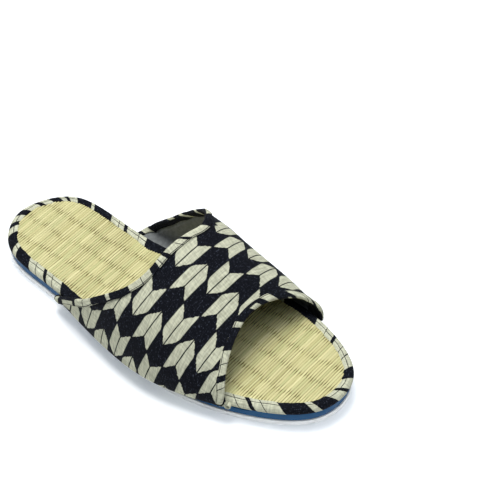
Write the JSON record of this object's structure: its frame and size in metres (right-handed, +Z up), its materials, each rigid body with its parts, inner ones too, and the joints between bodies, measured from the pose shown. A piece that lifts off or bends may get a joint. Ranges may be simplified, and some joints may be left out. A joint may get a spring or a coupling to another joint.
{
  "type": "open-toe tatami room slipper",
  "caption": "Open-toe room slipper with a woven rush insole in a cloth edge, an arched padded cloth band over the instep and a layered foam sole.",
  "frame": {"origin": "on the floor plane, under the middle of the slipper's length and of its greatest width", "axes": "+Z up, +Y from the toe toward the heel, +X toward the medial side"},
  "size_m": [0.1184, 0.2802, 0.0838],
  "materials": {
    "outsole_foam": "matte white foam",
    "midsole_foam": "matte blue foam",
    "rush_mat": "woven rush, dull sheen",
    "insole_binding_cloth": "navy and cream woven cotton",
    "upper_cloth": "navy and cream woven cotton, grey lining",
    "throat_binding_cloth": "navy and cream woven cotton",
    "toe_binding_cloth": "navy and cream woven cotton"
  },
  "bodies": {
    "root": {"outsole": "outsole_foam", "midsole": "midsole_foam", "insole": "rush_mat", "insole_binding": "insole_binding_cloth", "upper": "upper_cloth", "throat_binding": "throat_binding_cloth", "toe_binding": "toe_binding_cloth"}
  },
  "joints": []
}
